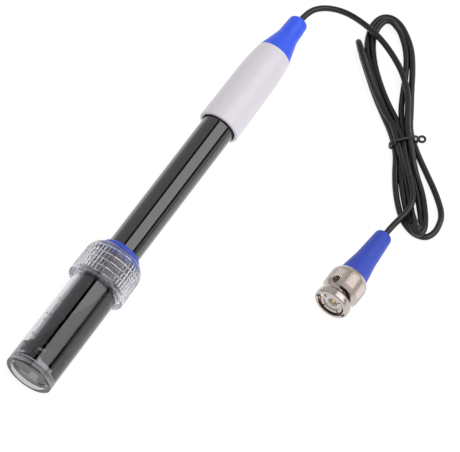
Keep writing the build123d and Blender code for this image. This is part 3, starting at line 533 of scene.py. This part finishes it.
def solution_top(angle):
    """The station where the solution ends at an angle, half straight and half eased between pairs."""
    angle = (angle + 180.0) % 360.0 - 180.0
    for (start, low), (end, high) in zip(solution_edge, solution_edge[1:]):
        if angle <= end:
            share = (angle - start) / (end - start)
            eased = share * share * (3 - 2 * share)
            return low + (high - low) * (eased + share) / 2
    return solution_end


# Electrode body with its four guard prongs
body_radius = 6.0
body_bore_radius = 4.8
body_tip = 4.9
body_end = 124.5
tip_bend = 0.25
first_row = 6.0
row_height = 0.5
wettable_rows = 68
guard_slot_half_width = 2.1
guard_slot_start = 3.9
guard_slot_arc = 8.8
guard_slot_steps = 16
guard_slot_reach = 8.0


def slot_cutter(through, level):
    """A slot through the tip guard along one direction, with its rounded end, as a prism."""
    profile = [(-guard_slot_half_width, guard_slot_start), (guard_slot_half_width, guard_slot_start)]
    for step in range(guard_slot_steps + 1):
        angle = math.pi * step / guard_slot_steps
        profile.append((
            guard_slot_half_width * math.cos(angle),
            guard_slot_arc + guard_slot_half_width * math.sin(angle),
        ))
    bm = bmesh.new()
    sides = []
    for reach in (-guard_slot_reach, guard_slot_reach):
        sides.append([
            bm.verts.new(electrode_foot + (through * reach + level * out + electrode_way * station) * mm)
            for out, station in profile
        ])
    bm.faces.new(sides[0])
    bm.faces.new(reversed(sides[1]))
    for step in range(len(profile)):
        after = (step + 1) % len(profile)
        bm.faces.new((sides[0][after], sides[0][step], sides[1][step], sides[1][after]))
    bmesh.ops.recalc_face_normals(bm, faces=bm.faces)
    mesh = bpy.data.meshes.new("slot_cutter")
    bm.to_mesh(mesh)
    bm.free()
    return link("slot_cutter", mesh)


body_outline = rounded([
    (body_bore_radius, body_tip), (body_radius, body_tip, tip_bend),
    (body_radius, first_row - row_height),
])
body_outline += [(body_radius, first_row + row_height * step) for step in range(wettable_rows)]
body_outline += [(body_radius, body_end), (body_bore_radius, body_end)]
body_tube = turned("body_tube", body_outline, 160, electrode_foot, electrode_way)
electrode_down = electrode_up * -1.0
carved(body_tube, [slot_cutter(electrode_down, right), slot_cutter(right, electrode_down)])
marked(body_tube, "wet", lambda station, angle, reach: station < solution_top(angle))
stand_in(body_tube, "electrode_body", "black_body")

# Cap with its recess, long taper and the seat for its sleeve
cap_front = 114.65
cap_front_radius = 7.55
cap_front_bend = 0.5
cap_recess_floor = 117.85
cap_recess_radius = 6.45
cap_recess_bend = 0.12
cap_shoulder = 137.0
cap_shoulder_radius = 7.3
cap_taper_radius = 84.0
cap_taper_run = 13.1
cap_taper_steps = 12
cap_end = cap_shoulder + cap_taper_run
cap_seat_radius = 3.7
cap_seat_floor = 143.6
cap_bore_radius = 5.0


def cap_taper(run):
    """The cap's radius at a run past its shoulder."""
    return cap_shoulder_radius - cap_taper_radius + math.sqrt(cap_taper_radius**2 - run**2)


cap_runs = [cap_taper_run * step / cap_taper_steps for step in range(1, cap_taper_steps)]
cap_end_radius = cap_taper(cap_taper_run)
cap_outline = rounded([
    (cap_recess_radius, cap_recess_floor), (cap_recess_radius, cap_front, cap_recess_bend),
    (cap_front_radius, cap_front, cap_front_bend), (cap_shoulder_radius, cap_shoulder),
    *[(cap_taper(run), cap_shoulder + run) for run in cap_runs],
    (cap_end_radius, cap_end), (cap_seat_radius, cap_end), (cap_seat_radius, cap_seat_floor),
    (cap_bore_radius, cap_seat_floor), (cap_bore_radius, body_end), (body_radius, body_end),
    (body_radius, cap_recess_floor),
])
grip_cap = turned("grip_cap", cap_outline, 160, electrode_foot, electrode_way)
stand_in(grip_cap, "cap", "pale_grey_cap")

# Blue sleeve that closes the cap, with the hole for the cable
cable_hole_radius = 1.15
spigot_start = 146.1
sleeve_front = 150.12
sleeve_inset = 0.02
sleeve_waist = 158.9
sleeve_waist_radius = 3.85
sleeve_waist_bend = 9.0
sleeve_end = 167.2
sleeve_end_radius = 3.45
sleeve_end_bend = 1.7
sleeve_edge_bend = 0.15
sleeve_outline = rounded([
    (cable_hole_radius, spigot_start), (cap_seat_radius, spigot_start), (cap_seat_radius, sleeve_front),
    (cap_end_radius - sleeve_inset, sleeve_front, sleeve_edge_bend),
    (sleeve_waist_radius, sleeve_waist, sleeve_waist_bend),
    (sleeve_end_radius, sleeve_end, sleeve_end_bend), (cable_hole_radius, sleeve_end, sleeve_edge_bend),
])
cap_bend_sleeve = turned("cap_bend_sleeve", sleeve_outline, 128, electrode_foot, electrode_way)
stand_in(cap_bend_sleeve, "cap_sleeve", "royal_blue_rubber")

# Blue seal on the shaft, with the flange that the collar clamps
seal_bore_radius = 6.06
seal_start = 50.3
seal_flange_radius = 8.3
seal_flange_end = 52.3
seal_flange_bend = 0.1
seal_ring_radius = 7.35
seal_ring_bend = 1.2
seal_end = 55.6
seal_outline = rounded([
    (seal_bore_radius, seal_start), (seal_flange_radius, seal_start, seal_flange_bend),
    (seal_flange_radius, seal_flange_end, seal_flange_bend), (seal_ring_radius, seal_flange_end),
    (seal_ring_radius, seal_end, seal_ring_bend), (seal_bore_radius, seal_end, 0.15),
])
shaft_seal_ring = turned("shaft_seal_ring", seal_outline, 128, electrode_foot, electrode_way)
stand_in(shaft_seal_ring, "shaft_seal", "seal_blue_rubber")

# Screw thread that joins the bottle's neck and the collar
thread_pitch = 2.5
thread_flank = 0.4


def kept_within(value):
    return min(1.0, max(0.0, value))


def thread_ridge(station, angle, phase, half_width):
    """How much of the thread's full height stands at a point."""
    turn = (station - phase - thread_pitch * angle / (2 * math.pi)) % thread_pitch
    return kept_within((half_width - min(turn, thread_pitch - turn)) / thread_flank)


# Bottle with a rounded foot ring, and a neck whose rows follow the thread
foot_recess_radius = 6.8
foot_recess_depth = 1.4
foot_radius = 8.7
shoulder_radius = 8.45
shoulder = 41.2
neck_radius = 7.7
neck_row = 0.12
neck_rows = 75
neck_end = 50.2
bottle_bore_radius = 7.0
bottle_floor = 2.8
neck_thread_start = 42.3
neck_thread_end = 50.0
neck_thread_height = 0.55
neck_thread_run_out = 0.6


def neck_thread(radius, station, angle):
    on_neck = 7.5 <= radius <= 8.0
    if not on_neck or not neck_thread_start < station < neck_thread_end:
        return radius
    ridge = thread_ridge(station, angle, 43.0, 0.65)
    start_share = kept_within((station - neck_thread_start) / neck_thread_run_out)
    end_share = kept_within((neck_thread_end - station) / neck_thread_run_out)
    return radius + neck_thread_height * ridge * start_share * end_share


bottle_outline = rounded([
    (0.0, foot_recess_depth), (foot_recess_radius, foot_recess_depth, 0.5),
    (foot_recess_radius, 0.0, 0.25), (foot_radius, 0.0, 0.7), (shoulder_radius, shoulder, 0.15),
    (neck_radius, shoulder),
])
bottle_outline += [(neck_radius, shoulder + neck_row * step) for step in range(1, neck_rows)]
bottle_outline += rounded([
    (neck_radius, neck_end), (bottle_bore_radius, neck_end, 0.1),
    (bottle_bore_radius, bottle_floor, 0.6), (0.0, bottle_floor),
])
clear_bottle = turned(
    "clear_bottle", bottle_outline, 160, electrode_foot, electrode_way, neck_thread
)
stand_in(clear_bottle, "storage_bottle", "clear_plastic")

# Storage solution between the bottle and the electrode, pressed a little into the bottle's wall
solution_radius = 7.03
solution_floor = 2.78
solution_bore_radius = 5.96
guard_pocket_end = 11.92


def settled(station, angle):
    """The solution's last row at each wall follows its edge."""
    if station < solution_end:
        return station
    return solution_top(math.degrees(angle) + 90.0) + station - solution_end


solution_outline = [
    (0.0, solution_floor), (5.8, solution_floor), (6.2, solution_floor),
    (solution_radius, solution_floor), (solution_radius, solution_end),
    (6.8, 38.801), (6.5, 38.721), (6.2, 38.801), (solution_bore_radius, solution_end),
    (solution_bore_radius, guard_pocket_end), (0.0, guard_pocket_end),
]
solution = turned("solution", solution_outline, 240, electrode_foot, electrode_way, lift=settled)

# Drops on the bottle's wall: angle from straight up toward +X, station and radius
drops = [
    (-52.0, 27.5, 0.42), (-44.0, 24.0, 0.3), (-55.0, 21.0, 0.5), (-47.0, 18.2, 0.34),
    (-58.0, 15.5, 0.3), (-50.0, 12.0, 0.45), (-40.0, 20.6, 0.24),
]
bm = bmesh.new()
bm.from_mesh(solution.data)
for angle, station, radius in drops:
    turn = math.radians(angle)
    out = right * math.sin(turn) + electrode_up * math.cos(turn)
    reach = solution_radius - radius / 2
    centre = electrode_foot + (out * reach + electrode_way * station) * mm
    bmesh.ops.create_icosphere(bm, subdivisions=3, radius=radius * mm, matrix=Matrix.Translation(centre))
for face in bm.faces:
    face.smooth = True
bm.to_mesh(solution.data)
bm.free()
# The solution's base carries the mask for its painted shade
marked(solution, "painted_shade", lambda station, angle, reach: station < 2.9 and reach < 6.6)
stand_in(solution, "storage_solution", "storage_liquid")

# Ribbed collar: a plain band, ribs cut to the domed outline, and a thread inside
collar_foot = 39.5
collar_band_radius = 10.75
thread_root_radius = 8.75
thread_root_start = 41.0
thread_root_end = 51.5
thread_row = 0.16
thread_rows = 80
thread_crest_height = 0.38
dome_steps = 16
dome_radii = (10.55, 10.35, 7.6)
dome_stations = (49.4, 52.9, 53.7)
collar_roof = 52.4


def collar_thread(radius, station, angle):
    on_root = abs(radius - thread_root_radius) <= 0.001
    if not on_root or not thread_root_start < station < thread_root_end:
        return radius
    return radius - thread_crest_height * thread_ridge(station, angle, 42.2, 0.62)


def bowed(share, start, middle, end):
    return (1 - share) ** 2 * start + 2 * share * (1 - share) * middle + share**2 * end


collar_outline = [(thread_root_radius, collar_foot)]
collar_outline += rounded([
    (thread_root_radius, collar_foot), (collar_band_radius, collar_foot, 0.3), (10.74, 40.8, 0.15),
    (10.55, 41.0),
])[1:-1]
collar_outline += [(10.74, 40.86), (10.73, 41.2), (10.66, 45.0), (10.58, 48.6)]
collar_outline += [
    (bowed(step / dome_steps, *dome_radii), bowed(step / dome_steps, *dome_stations))
    for step in range(dome_steps + 1)
]
collar_outline += [(dome_radii[-1], collar_roof), (thread_root_radius, collar_roof)]
collar_outline += [(thread_root_radius, collar_roof - thread_row * step) for step in range(1, thread_rows)]
ribbed_collar = turned(
    "ribbed_collar", collar_outline, 576, electrode_foot, electrode_way, collar_thread
)
collar_ribs = {
    "Ribs": 48,
    "Ring Radius": 10.29 * mm,
    "Rib Radius": 0.46 * mm,
    "Valley Radius": 10.25 * mm,
    "Inner Radius": 9.3 * mm,
    "First Station": 40.85 * mm,
    "Foot": electrode_foot,
    "Way": electrode_way,
    "Down": electrode_down,
    "Finish": looks["clear_collar"],
}
grown(ribbed_collar, rib_tree(), collar_ribs, sharp=50.0)
stand_in(ribbed_collar, "bottle_collar", "clear_collar")

# Blue sleeve on the plug
plug_sleeve_front = 13.95
plug_sleeve_front_radius = 5.2
plug_sleeve_seat_radius = 4.32
plug_sleeve_seat_end = 15.6
plug_sleeve_bore_radius = 2.4
plug_sleeve_bore_end = 24.0
plug_sleeve_end = 35.25
plug_sleeve_outline = rounded([
    (plug_sleeve_seat_radius, plug_sleeve_front), (plug_sleeve_front_radius, plug_sleeve_front, 0.12),
    (3.875, 23.0, 30.0), (3.05, plug_sleeve_end, 1.4), (cable_hole_radius, plug_sleeve_end, 0.12),
    (cable_hole_radius, plug_sleeve_bore_end), (plug_sleeve_bore_radius, plug_sleeve_bore_end),
    (plug_sleeve_bore_radius, plug_sleeve_seat_end), (plug_sleeve_seat_radius, plug_sleeve_seat_end),
])
plug_bend_sleeve = turned("plug_bend_sleeve", plug_sleeve_outline, 128, plug_face, plug_way)
stand_in(plug_bend_sleeve, "plug_sleeve", "plug_blue_rubber")

# Wave spring behind the nut's shoulder
spring_start = 8.74
spring_end = 10.06
strip_width = 0.28
strip_thickness = 0.2
spring_height = spring_end - spring_start
spring_ring = link("spring_ring", bpy.data.meshes.new("spring_ring"))
spring_waves = {
    "Radius": 4.55 * mm,
    "Rise": (spring_height - strip_thickness) / 2 * mm,
    "Strip Width": strip_width * mm,
    "Strip Thickness": strip_thickness * mm,
    "Gap Angle": 0.06,
    "Waves": 3,
    "Steps": 121,
    "Finish": looks["spring_steel"],
}
grown(spring_ring, wave_tree(), spring_waves)
spring_place = Matrix.Translation(plug_face + plug_way * (spring_start + spring_height / 2) * mm)
spring_axes = Matrix((right, plug_way.cross(right), plug_way)).transposed()
spring_ring.data.transform(spring_place @ spring_axes.to_4x4())
stand_in(spring_ring, "wave_spring", "spring_steel")
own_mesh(spring_ring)

# Cable: one smooth line through the lead, the hank's turns and the tail
cable_line = bpy.data.curves.new("cable", "CURVE")
cable_line.dimensions = "3D"
cable_spline = cable_line.splines.new("NURBS")
cable_points = lead_route + hank_route + tail_route
cable_spline.points.add(len(cable_points) - 1)
for point, place in zip(cable_spline.points, cable_points):
    point.co = (*place, 1.0)
cable_spline.order_u = 3
cable_spline.use_endpoint_u = True
cable_spline.resolution_u = 10
cable_line.bevel_depth = cable_diameter / 2
cable_line.bevel_resolution = 5
cable_line.use_fill_caps = True
cable_line.materials.append(looks["black_cable"])
cable = link("cable", cable_line)
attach(cable, "electrode")
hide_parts("cable_lead", "cable_hank", "cable_tail")

# Floor, pale and plain
floor_reach = 6.0
floor_grey = 0.25
floor_mesh = bpy.data.meshes.new("floor")
floor_mesh.from_pydata(
    [
        (-floor_reach, -floor_reach, 0.0), (floor_reach, -floor_reach, 0.0),
        (floor_reach, floor_reach, 0.0), (-floor_reach, floor_reach, 0.0),
    ],
    [],
    [(0, 1, 2, 3)],
)
floor = link("floor", floor_mesh)
floor_look, floor_tree, floor_skin = material("floor_white")
floor_skin.inputs["Base Color"].default_value = (floor_grey, floor_grey, floor_grey, 1.0)
floor_skin.inputs["Roughness"].default_value = 0.9
floor_skin.inputs["Emission Color"].default_value = (1.0, 1.0, 1.0, 1.0)
floor_skin.inputs["Emission Strength"].default_value = 0.85
floor_mesh.materials.append(floor_look)

# World: even white surroundings
world = bpy.data.worlds.new("studio")
bpy.context.scene.world = world
world.use_nodes = True
world.node_tree.nodes["Background"].inputs["Color"].default_value = (1.0, 1.0, 1.0, 1.0)
world.node_tree.nodes["Background"].inputs["Strength"].default_value = 0.62

# Curved panels over the object, which only its reflections show
panel_distance = 2.2
panel_near = -0.6
panel_far = 2.4
panel_steps = 12


def arc_panel(name, start, end, glow):
    """A panel between two angles in degrees from straight up toward +X."""
    corners = []
    for step in range(panel_steps + 1):
        angle = math.radians(start + (end - start) * step / panel_steps)
        for along in (panel_near, panel_far):
            corners.append((panel_distance * math.sin(angle), along, panel_distance * math.cos(angle)))
    faces = [(2 * step, 2 * step + 1, 2 * step + 3, 2 * step + 2) for step in range(panel_steps)]
    mesh = bpy.data.meshes.new(name)
    mesh.from_pydata(corners, [], faces)
    look, tree, skin = material(name)
    tree.nodes.remove(skin)
    shine = tree.nodes.new("ShaderNodeEmission")
    shine.inputs["Strength"].default_value = glow
    wire(tree, shine.outputs["Emission"], tree.nodes["Material Output"].inputs["Surface"])
    mesh.materials.append(look)
    sheet = link(name, mesh)
    sheet.visible_camera = False


softbox_start = 3.0
softbox_end = 65.5
card_width = 14.0
arc_panel("softbox", softbox_start, softbox_end, 2.1)
arc_panel("dark_card", softbox_start - card_width, softbox_start, 0.0)
arc_panel("dark_card", softbox_end, softbox_end + card_width, 0.0)

# Camera at the photograph's view
view_azimuth = math.radians(32.76)
view_elevation = math.radians(61.5)
view_distance = 1.09
view_target = Vector((0.02168, 0.00486, 0.0))
toward_camera = Vector((
    math.sin(view_azimuth) * math.cos(view_elevation),
    -math.cos(view_azimuth) * math.cos(view_elevation),
    math.sin(view_elevation),
))
camera_data = bpy.data.cameras.new("camera")
camera_data.lens = 251.7
camera_data.sensor_width = 36.0
camera_data.clip_end = 20.0
camera = link("camera", camera_data)
side = Vector((math.cos(view_azimuth), math.sin(view_azimuth), 0.0))
camera_axes = Matrix((side, toward_camera.cross(side), toward_camera)).transposed()
camera.matrix_world = Matrix.Translation(view_target + toward_camera * view_distance) @ camera_axes.to_4x4()
bpy.context.scene.camera = camera
bpy.context.scene.view_settings.view_transform = "Standard"
